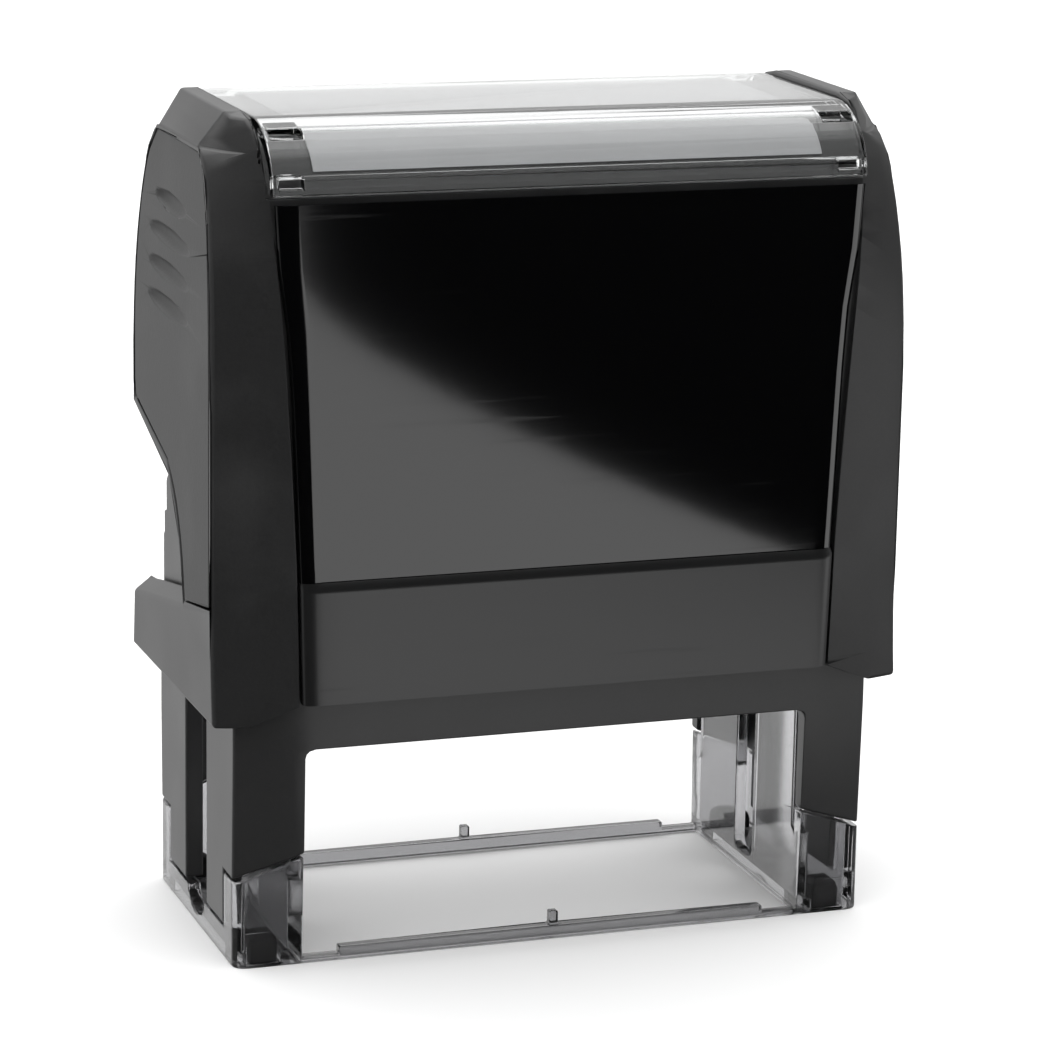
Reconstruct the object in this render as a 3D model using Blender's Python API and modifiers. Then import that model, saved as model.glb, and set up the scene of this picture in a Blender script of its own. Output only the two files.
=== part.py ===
"""Self-inking stamp: a bow slides down over a window frame on a clear foot and flips the die over.

Origin at the middle of the footprint on the table, +Z up, +X along the text line, -Y the front.
All dimensions below are millimetres; meshes are written in metres.
"""

import math

import bmesh
import bpy
from mathutils import Vector

MM = 0.001
CLEAR = 0.3  # running gap between neighbouring pieces

# Motion
TRAVEL = 22.5  # stroke of the bow
DIE_HEIGHT = 4.2  # axle centre to the printing face
AXLE_Z = TRAVEL + DIE_HEIGHT  # axle at rest
AXLE_R = 1.7

# Frame: plan of the legs, which the foot and the bow follow
FRAME_END_X = 32.5
FRAME_CORNER_Y = 14.1
FRAME_FLAT_X = 26.9
FRAME_FLAT_Y = 15.28
FRAME_WALL = 1.8
WINDOW_X = 25.68
WINDOW_TOP = 21.6
LEG_CORNER_Z = 8.8  # lowest point of a leg at its outer corner
LEG_INNER_Z = 11.2
COLUMN_Z = 3.3  # the end columns reach lower than the legs
COLUMN_Y = 10.3
AXLE_SLOT_Y = 3.9
DECK_BOTTOM = 37.4
DECK_TOP = 39.2
END_WALL_TOP = 45.5
REAR_WALL_TOP = 53.0

# Foot
FOOT_FLAT_Y = 14.63
FOOT_CORNER_Y = 14.6
FOOT_WALL = 1.3
FOOT_TOP = 9.8
FOOT_FLOOR = 1.2
FOOT_RIM_LOW = 0.6  # the rim between the corner posts, with a higher strip in the middle
FOOT_RIM_HIGH = 1.35
FOOT_RIM_HIGH_X = 22.0
FOOT_CHEEK_TOP = 24.0  # clear guide walls inside the legs
PAD_X = 29.3
PAD_Y = 11.5
PAD_TOP = 3.1

# Bow
BOW_BOTTOM = 24.6
BOW_LIP = 26.7  # bottom edge beside the front panel
BOW_END_X = 34.95
BOW_CORNER_Y = 15.05
BOW_FLARE_Y = 0.8  # extra depth of the corner at the bottom edge
SHOULDER_Z = 56.0  # the end faces start to round over
SHOULDER_TOP_Z = 78.5
SHOULDER_TOP_X = 34.2
SHOULDER_TOP_Y = 7.2
RIDGE_Z = 81.9
RIDGE_X = 31.8
RIDGE_Y = 8.0
CHEEK_EDGE_Y = 17.5
CHEEK_EDGE_Z = 60.0
CHEEK_EDGE_X_LOW = 26.8
CHEEK_EDGE_X_HIGH = 30.3
CAVITY_X = 32.9
CAVITY_CORNER_Y = 14.45
CAVITY_FLAT_Y = 15.6
CAVITY_TOP = 77.2
CROWN_TOP = 79.5
CROWN_HALF_Y = 15.35
CROWN_FLAT_Y = 9.2
CAP_SEAT_Z = 74.7
CAP_TOP = 81.5
CAP_WALL = 1.3
CAP_HALF_X = 29.5
CARD_HALF_X = 25.3
CARD_EDGE_Z = 76.9  # lower edges of the card that bends over the crown
CARD_THICKNESS = 0.16
BACK_OPENING_TOP = 59.5
INLAY_FLOOR_X = 33.6
INLAY_BOTTOM = 35.8
INLAY_TOP = 78.3
GROOVE_TOP_Z = 71.9
GROOVE_PITCH = 3.35
GROOVE_LENGTH = 17.4

# Finger recess at the back of each cheek, as (y, z)
FINGER_RECESS_BACK = (14.5, 49.7)
FINGER_RECESS_KNEE = (2.3, 46.0)
FINGER_RECESS_LEAN = (-3.2, 42.4)
FINGER_RECESS_TOE = (-4.2, 33.7)
LEDGE_BACK_Z = 30.2
LEDGE_RISE = 1.4  # height gained by the ledge across the wall, inwards
LEDGE_SHARE = 0.9  # share of the recess's edge that is left above the raised ledge

# Front and back panels
PANEL_BACK_Y = 16.8
PANEL_BOTTOM = 26.8
PANEL_TOP = 74.3
PANEL_BAND_TOP = 38.6
PANEL_BAND_Y = 18.25
PANEL_FACE_Y = 17.75

# Ink cartridge
TRAY_X = 29.6
TRAY_Y = 12.2
TRAY_BOTTOM = 31.2
TRAY_TOP = 36.6
PAD_FACE_Z = 31.7
PAD_BACK_Z = 35.2
INK_X = 25.0
INK_Y = 9.9

# Die
DIE_X = 24.5
DIE_Y = 9.7

# Lock buttons, in the back panel
LOCK_X = 20.0
LOCK_Z = 65.0
LOCK_HALF_X = 2.7
LOCK_HALF_Z = 1.8


# ---------------------------------------------------------------- scene and materials


def clear_scene():
    for obj in list(bpy.data.objects):
        bpy.data.objects.remove(obj, do_unlink=True)


def make_collection(name):
    made = bpy.data.collections.new(name)
    bpy.context.scene.collection.children.link(made)
    return made


def make_material(name, colour, roughness, metallic=0.0):
    made = bpy.data.materials.new(name)
    made.use_nodes = True
    shader = made.node_tree.nodes["Principled BSDF"]
    shader.inputs["Base Color"].default_value = (*colour, 1.0)
    shader.inputs["Roughness"].default_value = roughness
    shader.inputs["Metallic"].default_value = metallic
    return made


# ---------------------------------------------------------------- shapes, in millimetres


def box_shape(low, high):
    """A box between two corners."""
    bm = bmesh.new()
    bmesh.ops.create_cube(bm, size=1.0)
    size = Vector(high) - Vector(low)
    bmesh.ops.scale(bm, vec=size, verts=bm.verts)
    bmesh.ops.translate(bm, vec=(Vector(high) + Vector(low)) / 2, verts=bm.verts)
    return bm


def rounded_box_shape(low, high, radius, along=None):
    """A box with rounded edges: all of them, or only those parallel to one axis."""
    bm = box_shape(low, high)
    edges = list(bm.edges)
    if along is not None:
        axis = Vector(along)
        edges = [e for e in edges if abs((e.verts[0].co - e.verts[1].co).normalized().dot(axis)) > 0.99]
    bmesh.ops.bevel(bm, geom=edges, offset=radius, segments=3, profile=0.5, affect="EDGES", material=-1)
    return bm


def loft_shape(sections, split=True):
    """A closed form through sections of equally many points, from the first to the last."""
    bm = bmesh.new()
    cap = bm.faces.new([bm.verts.new(p) for p in sections[0]])
    for level, section in enumerate(sections[1:]):
        below = cap
        grown = bmesh.ops.extrude_face_region(bm, geom=[below])
        cap = [g for g in grown["geom"] if isinstance(g, bmesh.types.BMFace)][0]
        for vert, point in zip(cap.verts, section):
            vert.co = point
        if level and below.is_valid:
            bmesh.ops.delete(bm, geom=[below], context="FACES_ONLY")
    if split:
        # warped sides are split into flat triangles before any Boolean
        bmesh.ops.triangulate(bm, faces=bm.faces)
    return bm


def prism_shape(outline, axis, low, high):
    """An outline drawn square to an axis, stretched along it. The outline is (y, z), (x, z) or (x, y)."""
    place = {
        "X": lambda a, b, t: (t, a, b),
        "Y": lambda a, b, t: (a, t, b),
        "Z": lambda a, b, t: (a, b, t),
    }[axis]
    return loft_shape([[place(a, b, t) for a, b in outline] for t in (low, high)], split=False)


def rod_shape(radius, start, end, sides=24):
    """A round rod from one point to another."""
    start, end = Vector(start), Vector(end)
    run = end - start
    bm = bmesh.new()
    bmesh.ops.create_cone(
        bm, cap_ends=True, segments=sides, radius1=radius, radius2=radius, depth=run.length
    )
    turn = Vector((0, 0, 1)).rotation_difference(run).to_matrix()
    bmesh.ops.rotate(bm, matrix=turn, verts=bm.verts)
    bmesh.ops.translate(bm, vec=(start + end) / 2, verts=bm.verts)
    return bm


def mirrored(outline):
    """A closed outline from its right half, which runs from one end of the axis of symmetry to the other."""
    return outline + [(-a, b) for a, b in reversed(outline)]


# ---------------------------------------------------------------- objects


class Workshop:
    """Holds the two collections and the materials, and turns shapes into objects."""

    def __init__(self):
        self.parts = make_collection("Self-inking stamp")
        self.cutters = make_collection("Cutters")
        self.cutters.hide_render = True

    def part(self, name, bm, material):
        return self.add(name, bm, material, self.parts)

    def helper(self, name, bm):
        obj = self.add(name, bm, None, self.cutters)
        obj.hide_render = True
        obj.display_type = "WIRE"
        return obj

    def add(self, name, bm, material, collection):
        bmesh.ops.scale(bm, vec=(MM, MM, MM), verts=bm.verts)
        bmesh.ops.recalc_face_normals(bm, faces=bm.faces)
        mesh = bpy.data.meshes.new(name)
        bm.to_mesh(mesh)
        bm.free()
        if material:
            mesh.materials.append(material)
        mesh.shade_smooth()
        mesh.set_sharp_from_angle(angle=math.radians(25))
        obj = bpy.data.objects.new(name, mesh)
        collection.objects.link(obj)
        return obj

    def combine(self, obj, operation, name, bm):
        step = obj.modifiers.new(name, "BOOLEAN")
        step.operation = operation
        step.solver = "EXACT"
        step.object = self.helper(f"{obj.name}_{name}", bm)

    def cut(self, obj, name, bm):
        self.combine(obj, "DIFFERENCE", name, bm)

    def join(self, obj, name, bm):
        self.combine(obj, "UNION", name, bm)

    def pivot(self, name, place, members):
        """An empty on a joint's axis, which carries the pieces that move about it."""
        empty = bpy.data.objects.new(name, None)
        empty.location = Vector(place) * MM
        empty.empty_display_size = 5 * MM
        self.parts.objects.link(empty)
        for obj in members:
            obj.parent = empty
            obj.matrix_parent_inverse.translation = -empty.location


def both_ends():
    return (("left", -1), ("right", 1))


def four_corners():
    return [
        (f"{depth}_{side}", sx, sy)
        for depth, sy in (("front", -1), ("back", 1))
        for side, sx in both_ends()
    ]


def span(sign, near, far):
    """Ordered limits of a stretch on one side of the middle."""
    return tuple(sorted((sign * near, sign * far)))


def plan(end_x, corner_y, flat_x, flat_y):
    """Eight-sided plan with flat front and back, angled corners and flat ends."""
    half = [(end_x, -corner_y), (end_x, corner_y), (flat_x, flat_y)]
    other = [(-flat_x, flat_y), (-end_x, corner_y), (-end_x, -corner_y), (-flat_x, -flat_y)]
    return [(flat_x, -flat_y)] + half + other


def at_height(outline, z):
    return [(x, y, z) for x, y in outline]


# ---------------------------------------------------------------- frame and foot


def frame_depth(z):
    """Share of the full depth at a height: the walls taper to the foot, and a little above the window."""
    if z < WINDOW_TOP:
        return (FOOT_FLAT_Y + (FRAME_FLAT_Y - FOOT_FLAT_Y) * z / WINDOW_TOP) / FRAME_FLAT_Y
    return 1.0 - 0.01 * (z - WINDOW_TOP) / (DECK_TOP - WINDOW_TOP)


def make_frame(shop, material):
    def section(z):
        k = frame_depth(z)
        return at_height(plan(FRAME_END_X, FRAME_CORNER_Y * k, FRAME_FLAT_X, FRAME_FLAT_Y * k), z)

    walls = loft_shape([section(z) for z in (COLUMN_Z, WINDOW_TOP, DECK_TOP)])
    frame = shop.part("base_frame", walls, material)
    inner = plan(FRAME_END_X - FRAME_WALL, FRAME_CORNER_Y - 1.5, FRAME_FLAT_X - 0.6, FRAME_FLAT_Y - FRAME_WALL)
    shop.cut(frame, "hollow", prism_shape(inner, "Z", -2, DECK_BOTTOM))
    window = rounded_box_shape((-WINDOW_X, -20, -4), (WINDOW_X, 20, WINDOW_TOP), 0.9, along=(0, 1, 0))
    shop.cut(frame, "window", window)
    # the legs stop above the foot, higher towards the window
    rise = (LEG_INNER_Z - LEG_CORNER_Z) / (FRAME_END_X - WINDOW_X)
    hem = [(40, -4), (40, LEG_CORNER_Z - (40 - FRAME_END_X) * rise)]
    hem += [(FRAME_END_X, LEG_CORNER_Z), (WINDOW_X - 1, LEG_INNER_Z + rise)]
    for name, sign in (("front", -1), ("back", 1)):
        shop.cut(frame, f"hem_{name}", prism_shape(mirrored(hem), "Y", *span(sign, COLUMN_Y, 20)))
    slot_top = AXLE_Z + AXLE_R + 1.2
    for side, sign in both_ends():
        low, high = span(sign, 29, 36)
        slot = rounded_box_shape((low, -AXLE_SLOT_Y, -4), (high, AXLE_SLOT_Y, slot_top), 1.5, along=(1, 0, 0))
        shop.cut(frame, f"axle_slot_{side}", slot)
        low, high = span(sign, FRAME_END_X - FRAME_WALL, FRAME_END_X)
        ear = [(-11.6, DECK_TOP - 1), (11.6, DECK_TOP - 1), (11.6, END_WALL_TOP - 3), (8.6, END_WALL_TOP)]
        ear += [(-8.6, END_WALL_TOP), (-11.6, END_WALL_TOP - 3)]
        shop.join(frame, f"ear_{side}", prism_shape(ear, "X", low, high))
        low, high = span(sign, 27.3, FRAME_END_X - 1.0)
        rail = box_shape((low, -11.5, 29.6), (high, 11.5, TRAY_BOTTOM - CLEAR))
        shop.join(frame, f"rail_{side}", rail)
    # the cartridge leaves through the back
    shop.cut(frame, "cartridge_way", box_shape((-40, TRAY_Y + 0.1, 30.2), (40, 25, DECK_BOTTOM)))
    for side, sign in both_ends():
        low, high = span(sign, 27.5, 40)
        corner = box_shape((low, TRAY_Y + 0.1, DECK_BOTTOM - 1), (high, 25, DECK_TOP + 1))
        shop.cut(frame, f"deck_corner_{side}", corner)
    # a wall at the back leans in over the deck and closes the bow's open back
    outer_y = FRAME_FLAT_Y - 0.1
    wall = [(outer_y, DECK_TOP - 1), (outer_y, 44), (10.9, REAR_WALL_TOP), (9.4, REAR_WALL_TOP)]
    wall += [(13.6, 43.4), (13.6, DECK_TOP - 1)]
    shop.join(frame, "rear_wall", prism_shape(wall, "X", -26, 26))
    for side, sign in both_ends():
        low, high = span(sign, LOCK_X - 4.3, LOCK_X + 4.3)
        shop.cut(frame, f"lock_way_{side}", box_shape((low, 8, DECK_TOP + 0.4), (high, 20, 60)))
    shop.join(frame, "spring_boss", rod_shape(3.4, (0, 0, DECK_TOP - 1), (0, 0, DECK_TOP + 2)))
    return frame


def make_foot(shop, material):
    k_top = frame_depth(LEG_INNER_Z)
    sections = [
        at_height(plan(FRAME_END_X, FOOT_CORNER_Y, FRAME_FLAT_X, FOOT_FLAT_Y), 0.0),
        at_height(plan(FRAME_END_X, FOOT_CORNER_Y, FRAME_FLAT_X, FRAME_FLAT_Y * k_top), LEG_INNER_Z),
    ]
    shape = loft_shape(sections, split=False)
    uprights = [
        e
        for e in shape.edges
        if abs(e.verts[0].co.z - e.verts[1].co.z) > 5 and abs(e.verts[0].co.x) > 30
    ]
    bmesh.ops.bevel(shape, geom=uprights, offset=1.3, segments=4, profile=0.5, affect="EDGES", material=-1)
    foot = shop.part("clear_foot", shape, material)
    inner = plan(FRAME_END_X - FOOT_WALL, FOOT_CORNER_Y - 1.6, FRAME_FLAT_X - 0.5, FOOT_FLAT_Y - FOOT_WALL)
    shop.cut(foot, "hollow", prism_shape(inner, "Z", FOOT_FLOOR, 20))
    inner_y = FOOT_FLAT_Y - FOOT_WALL
    shop.cut(foot, "paper_window", box_shape((-WINDOW_X, -inner_y, -2), (WINDOW_X, inner_y, 20)))
    sight_x = WINDOW_X + 0.05
    sight = [(sight_x, 30), (sight_x, FOOT_RIM_LOW)]
    sight += [(FOOT_RIM_HIGH_X, FOOT_RIM_LOW), (FOOT_RIM_HIGH_X, FOOT_RIM_HIGH)]
    shop.cut(foot, "sight", prism_shape(mirrored(sight), "Y", -20, 20))
    rise = (LEG_INNER_Z - LEG_CORNER_Z) / (FRAME_END_X - WINDOW_X)
    corner_z = LEG_CORNER_Z - CLEAR
    lid = [(40, 30), (40, corner_z - (40 - FRAME_END_X) * rise), (FRAME_END_X, corner_z)]
    lid += [(WINDOW_X, LEG_INNER_Z - CLEAR), (WINDOW_X, FOOT_TOP)]
    shop.cut(foot, "lid", prism_shape(mirrored(lid), "Y", -20, 20))
    for side, sign in both_ends():
        low, high = span(sign, FRAME_END_X - FRAME_WALL - CLEAR, 36)
        column = box_shape((low, -COLUMN_Y - CLEAR, COLUMN_Z - CLEAR), (high, COLUMN_Y + CLEAR, 20))
        shop.cut(foot, f"column_{side}", column)
        # the axle comes down into a round-bottomed notch in the end wall
        low, high = span(sign, 29, 36)
        notch = rounded_box_shape((low, -3.2, 1.0), (high, 3.2, 20), 2.6, along=(1, 0, 0))
        shop.cut(foot, f"axle_notch_{side}", notch)
        low, high = span(sign, WINDOW_X + 0.05, WINDOW_X + 1.25)
        guide = [(-13.5, 0.6), (13.5, 0.6), (13.5, 8.0), (12.6, 8.8), (12.6, FOOT_CHEEK_TOP)]
        guide += [(-12.6, FOOT_CHEEK_TOP), (-12.6, 8.8), (-13.5, 8.0)]
        shop.join(foot, f"guide_{side}", prism_shape(guide, "X", low, high))
        low, high = span(sign, 24, 29)
        track = rounded_box_shape((low, -2.3, 1.9), (high, 2.3, FOOT_CHEEK_TOP + 8), 1.2, along=(1, 0, 0))
        shop.cut(foot, f"track_{side}", track)
    for name, sx, sy in four_corners():
        low = (sx * PAD_X - 1.7, sy * PAD_Y - 1.7, -2)
        high = (sx * PAD_X + 1.7, sy * PAD_Y + 1.7, FOOT_FLOOR + 2)
        shop.cut(foot, f"pad_seat_{name}", box_shape(low, high))
    for name, sign in (("front", -1), ("back", 1)):
        low, high = span(sign, FOOT_FLAT_Y - FOOT_WALL + 0.1, FOOT_FLAT_Y - 0.2)
        shop.join(foot, f"centre_mark_{name}", box_shape((-0.45, low, 0.4), (0.45, high, 2.8)))
    return foot


def make_pads(shop, material):
    made = []
    for name, sx, sy in four_corners():
        low = (sx * PAD_X - 1.4, sy * PAD_Y - 1.4, 0)
        high = (sx * PAD_X + 1.4, sy * PAD_Y + 1.4, PAD_TOP)
        shape = box_shape(low, high)
        top = [e for e in shape.edges if min(v.co.z for v in e.verts) > PAD_TOP - 1]
        bmesh.ops.bevel(shape, geom=top, offset=1.1, segments=3, profile=0.5, affect="EDGES", material=-1)
        made.append(shop.part(f"anti_slip_pad_{name}", shape, material))
    return made


# ---------------------------------------------------------------- bow


def round_over(z, start, end, depth, power):
    """How much of a depth is left at a height on a shoulder that rounds over between start and end."""
    if z <= start:
        return depth
    t = min((z - start) / (end - start), 1.0)
    return depth * (1 - t**power) ** (1 / power)


def corner_point(z):
    """Outer corner of the bow at a height."""
    if z > SHOULDER_TOP_Z:
        t = (z - SHOULDER_TOP_Z) / (RIDGE_Z - SHOULDER_TOP_Z)
        x = SHOULDER_TOP_X + t * (RIDGE_X - SHOULDER_TOP_X)
        return (x, SHOULDER_TOP_Y + t * (RIDGE_Y - SHOULDER_TOP_Y))
    flare = BOW_FLARE_Y * max(0.0, (36 - z) / (36 - BOW_BOTTOM)) ** 2
    y = SHOULDER_TOP_Y + round_over(z, SHOULDER_Z, SHOULDER_TOP_Z, BOW_CORNER_Y - SHOULDER_TOP_Y, 2.0)
    t = max(0.0, (z - SHOULDER_Z) / (SHOULDER_TOP_Z - SHOULDER_Z))
    return (BOW_END_X - (BOW_END_X - SHOULDER_TOP_X) * t * t, y + flare)


def cheek_edge(z):
    """Edge of the bow beside the front panel at a height."""
    y = RIDGE_Y + 0.2 + round_over(z, CHEEK_EDGE_Z, RIDGE_Z, CHEEK_EDGE_Y - RIDGE_Y - 0.2, 2.3)
    t = (z - PANEL_BOTTOM) / (RIDGE_Z - PANEL_BOTTOM)
    return (CHEEK_EDGE_X_LOW + (CHEEK_EDGE_X_HIGH - CHEEK_EDGE_X_LOW) * t**1.7, y)


def lane_half_x(z):
    """Half width between the cheeks at a height: the lane bites a little into the edges of the cheeks."""
    return cheek_edge(z)[0] + 0.15


def bow_section(z):
    """Twelve-sided plan of the bow at a height, with a nose between its corner and the panel's edge."""
    corner = corner_point(z)
    edge = cheek_edge(max(z, PANEL_BOTTOM))
    nose = (corner[0] + 0.37 * (edge[0] - corner[0]), corner[1] + 0.37 * (edge[1] - corner[1]) + 0.25)
    quarter = [corner, nose, edge]
    lift = max(0.0, BOW_LIP - z)  # the bottom edge rises beside the panel
    heights = [z, z, z + lift]
    ring = [(x, -y, h) for (x, y), h in zip(reversed(quarter), reversed(heights))]
    ring += [(x, y, h) for (x, y), h in zip(quarter, heights)]
    ring += [(-x, y, h) for (x, y), h in zip(reversed(quarter), reversed(heights))]
    ring += [(-x, -y, h) for (x, y), h in zip(quarter, heights)]
    return ring


def bow_heights():
    """Heights of the bow's sections, closer together where it rounds over."""
    straight = [BOW_BOTTOM, 27.5, 31.0, 36.0, 46.0, SHOULDER_Z, CHEEK_EDGE_Z]
    steps = 12
    turns = [math.sin(math.pi / 2 * i / steps) for i in range(1, steps + 1)]
    rounded = [CHEEK_EDGE_Z + (SHOULDER_TOP_Z - CHEEK_EDGE_Z) * turn for turn in turns]
    top = [SHOULDER_TOP_Z + (RIDGE_Z - SHOULDER_TOP_Z) * t for t in (0.3, 0.6, 0.85, 1.0)]
    return straight + rounded + top


def bow_outer_shape():
    return loft_shape([bow_section(z) for z in bow_heights()])


def recess_curve(share, steps=8):
    """Points of the front edge of the finger recess: all of it, or only its upper share."""
    points = []
    for i in range(steps + 1):
        t = share * i / steps
        weights = ((1 - t) ** 2, 2 * t * (1 - t), t * t)
        corners = (FINGER_RECESS_KNEE, FINGER_RECESS_LEAN, FINGER_RECESS_TOE)
        points.append(tuple(sum(w * c[k] for w, c in zip(weights, corners)) for k in (0, 1)))
    return points


def recess_edge(shift=0.0, share=1.0):
    """Upper and front edge of the finger recess, from the back edge down to its toe."""
    curve = recess_curve(share)
    back_y, back_z = FINGER_RECESS_BACK
    return [(back_y, back_z + shift)] + [(y - shift, z + shift) for y, z in curve]


def finger_recess_shape(sign):
    """The scoop at the back of a cheek: its lower ledge slopes up towards the frame."""
    sections = []
    for x, share in ((CAVITY_X - 0.5, LEDGE_SHARE), (BOW_END_X, 1.0), (BOW_END_X + 3, 1.0)):
        lift = LEDGE_RISE * (BOW_END_X - x) / (BOW_END_X - CAVITY_X) if x < BOW_END_X else 0.0
        ledge = [(15.7, LEDGE_BACK_Z + lift), (25, LEDGE_BACK_Z + lift)]
        outline = [(25, FINGER_RECESS_BACK[1] + 3)] + recess_edge(share=share) + ledge
        sections.append([(sign * x, y, z) for y, z in outline])
    return loft_shape(sections)


def inlay_outline(margin):
    """Outline of the grip inlay in the end face, drawn in by a margin."""
    steps = 18
    height = INLAY_TOP - INLAY_BOTTOM - 2 * margin
    heights = [INLAY_BOTTOM + margin + height * i / steps for i in range(steps + 1)]
    inset = 0.45 + margin
    front = [(inset - corner_point(z)[1], z) for z in heights]
    above = [z for z in reversed(heights) if z > FINGER_RECESS_BACK[1] + 2.5]
    back = [(corner_point(z)[1] - inset, z) for z in above]
    edge = recess_edge(0.7 + margin)
    edge[0] = (edge[0][0] - 0.4 - margin, edge[0][1])
    return front + back + edge[:-1] + [(FINGER_RECESS_TOE[0] - 0.8 - margin, 34.3 + margin)]


def crown_outline(top, half_y, flat_y, foot_z, end_z=None, steps=10):
    """Right half of the crown's profile: flat, then rounded down to its foot or to a height above it."""
    drop = top - foot_z
    sweep = math.pi / 2 if end_z is None else math.acos((end_z - foot_z) / drop)
    angles = [sweep * i / steps for i in range(steps + 1)]
    return [(flat_y + (half_y - flat_y) * math.sin(a), foot_z + drop * math.cos(a)) for a in angles]


def sheet_outline(outer, inner):
    """A sheet that bends over the crown: its outside from back to front, then its inside."""
    across = [(-y, z) for y, z in reversed(outer)] + outer
    return across + list(reversed(inner)) + [(-y, z) for y, z in inner]


def lock_hole_shape(sign):
    """The way of a lock button through the back."""
    low, high = span(sign, LOCK_X - LOCK_HALF_X - CLEAR, LOCK_X + LOCK_HALF_X + CLEAR)
    half_z = LOCK_HALF_Z + CLEAR
    return box_shape((low, 14, LOCK_Z - half_z), (high, 20, LOCK_Z + half_z))


def make_bow(shop, material):
    bow = shop.part("bow", bow_outer_shape(), material)
    # heights of the hollow, with how far it draws in at its corners and at its front and back
    rows = [(15.0, 0, 0), (60.0, 0, 0), (66.0, 0.9, 0), (69.0, 1.6, 0.5), (72.0, 2.6, 1.3)]
    rows += [(75.0, 4.0, 2.8), (CAVITY_TOP, 5.8, 4.6)]
    hollow = [
        at_height(plan(CAVITY_X - 0.12 * corner, CAVITY_CORNER_Y - corner, 27.3, CAVITY_FLAT_Y - flat), z)
        for z, corner, flat in rows
    ]
    shop.cut(bow, "hollow", loft_shape(hollow))
    # recesses for the front and back panels, and the way out for the cartridge
    lane = [(lane_half_x(PANEL_BOTTOM), PANEL_BOTTOM - 5)]
    lane += [(lane_half_x(z), z) for z in (PANEL_BOTTOM, 40.0, 50.0, 60.0, 70.0, CAP_SEAT_Z + 6)]
    shop.cut(bow, "front_lane", prism_shape(mirrored(lane), "Y", -25, -(PANEL_BACK_Y - CLEAR)))
    shop.cut(bow, "back_lane", prism_shape(mirrored(lane), "Y", PANEL_BACK_Y - CLEAR, 25))
    half_x = CAVITY_X + 0.05
    shop.cut(bow, "back_opening", box_shape((-half_x, 13.0, 10), (half_x, 25, BACK_OPENING_TOP)))
    # seat of the clear cap over the crown
    above = [(25, CAP_SEAT_Z), (25, 95)]
    crown = crown_outline(CROWN_TOP, CROWN_HALF_Y, CROWN_FLAT_Y, CAP_SEAT_Z)
    seat = list(reversed(above)) + list(reversed(crown))
    seat_half_x = CAP_HALF_X + CLEAR
    shop.cut(bow, "cap_seat", prism_shape(mirrored(seat), "X", -seat_half_x, seat_half_x))
    for side, sign in both_ends():
        shop.cut(bow, f"finger_recess_{side}", finger_recess_shape(sign))
        pocket = prism_shape(inlay_outline(0.0), "X", *span(sign, INLAY_FLOOR_X, 40))
        shop.cut(bow, f"inlay_pocket_{side}", pocket)
        bearing = rod_shape(AXLE_R + CLEAR, (sign * 31, 0, AXLE_Z), (sign * 34.2, 0, AXLE_Z))
        shop.cut(bow, f"bearing_{side}", bearing)
        shop.cut(bow, f"lock_hole_{side}", lock_hole_shape(sign))
    shop.join(bow, "spring_guide", rod_shape(2.5, (0, 0, 66), (0, 0, CROWN_TOP - 1)))
    return bow


def groove_shape(sign, length, y, z):
    """A leaf-shaped finger groove that runs down towards the front on an end face."""
    bm = bmesh.new()
    bmesh.ops.create_uvsphere(bm, u_segments=16, v_segments=10, radius=1.0)
    lay_down = Vector((0, 0, 1)).rotation_difference(Vector((0, 1, 0))).to_matrix()
    bmesh.ops.rotate(bm, matrix=lay_down, verts=bm.verts)
    bmesh.ops.scale(bm, vec=(0.75, length / 2, 1.05), verts=bm.verts)
    slope = Vector((0, 1, 0)).rotation_difference(Vector((0, 1, 0.03))).to_matrix()
    bmesh.ops.rotate(bm, matrix=slope, verts=bm.verts)
    skin_x = corner_point(z)[0]
    bmesh.ops.translate(bm, vec=(sign * (skin_x + 0.3), y, z), verts=bm.verts)
    return bm


def make_inlays(shop, material):
    made = []
    for side, sign in both_ends():
        inlay = shop.part(f"grip_inlay_{side}", bow_outer_shape(), material)
        outline = prism_shape(inlay_outline(0.25), "X", *span(sign, INLAY_FLOOR_X + 0.2, 40))
        shop.combine(inlay, "INTERSECT", "outline", outline)
        for row in range(4):
            length = GROOVE_LENGTH if row else GROOVE_LENGTH * 0.75
            z = GROOVE_TOP_Z - GROOVE_PITCH * row
            shop.cut(inlay, f"groove_{row}", groove_shape(sign, length, 1.2, z))
        made.append(inlay)
    return made


def panel_sides(bottom, top):
    heights = [z for z in (40.0, 50.0, 60.0, 70.0) if bottom < z < top]
    return [(lane_half_x(z) - CLEAR, z) for z in [bottom] + heights + [top]]


def make_panel(shop, name, sign, bottom, profile, material):
    """A glossy panel between the cheeks: the width of their lane, cut to a side profile."""
    shape = prism_shape(mirrored(panel_sides(bottom, PANEL_TOP)), "Y", *span(sign, 10, 25))
    panel = shop.part(name, shape, material)
    side_view = prism_shape([(sign * y, z) for y, z in profile], "X", -40, 40)
    shop.combine(panel, "INTERSECT", "profile", side_view)
    round_edges = panel.modifiers.new("soft_edges", "BEVEL")
    round_edges.width = 0.35 * MM
    round_edges.segments = 2
    round_edges.limit_method = "ANGLE"
    round_edges.angle_limit = math.radians(50)
    return panel


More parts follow.
